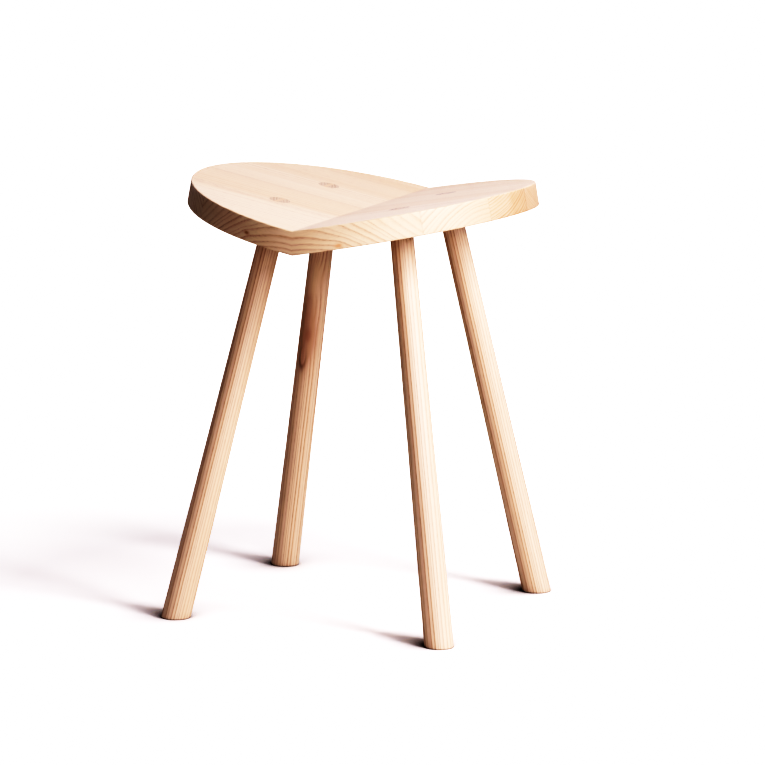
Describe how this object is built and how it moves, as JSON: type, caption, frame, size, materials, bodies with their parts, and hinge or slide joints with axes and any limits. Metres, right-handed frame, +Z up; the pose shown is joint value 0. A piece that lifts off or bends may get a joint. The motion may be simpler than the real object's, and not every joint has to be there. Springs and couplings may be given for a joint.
{
  "type": "milking stool",
  "caption": "Low round wooden stool; the seat is folded upwards along its middle and stands on splayed, tapered round legs with wedged through tenons.",
  "frame": {"origin": "on the floor, under the middle of the seat", "axes": "+Z up; the fold runs along Y with -Y the front; the seat rises towards -X (the left half) and +X (the right half)"},
  "size_m": [0.3624, 0.36, 0.4514],
  "materials": {
    "ash_seat": "sanded, matt",
    "ash_leg": "turned and sanded, matt",
    "ash_wedge": "sanded flush, matt",
    "beech_fold_tenon": "machined"
  },
  "bodies": {
    "root": {"fold_tenon_1": "beech_fold_tenon", "fold_tenon_2": "beech_fold_tenon", "fold_tenon_3": "beech_fold_tenon", "fold_tenon_4": "beech_fold_tenon", "fold_tenon_5": "beech_fold_tenon", "fold_tenon_6": "beech_fold_tenon", "seat_left_stave_1": "ash_seat", "seat_left_stave_2": "ash_seat", "seat_left_stave_3": "ash_seat", "seat_left_stave_4": "ash_seat", "seat_left_stave_5": "ash_seat", "seat_left_stave_6": "ash_seat", "leg_front_left": "ash_leg", "wedge_front_left": "ash_wedge", "leg_back_left": "ash_leg", "wedge_back_left": "ash_wedge", "seat_right_stave_1": "ash_seat", "seat_right_stave_2": "ash_seat", "seat_right_stave_3": "ash_seat", "seat_right_stave_4": "ash_seat", "seat_right_stave_5": "ash_seat", "seat_right_stave_6": "ash_seat", "leg_front_right": "ash_leg", "wedge_front_right": "ash_wedge", "leg_back_right": "ash_leg", "wedge_back_right": "ash_wedge"}
  },
  "joints": []
}
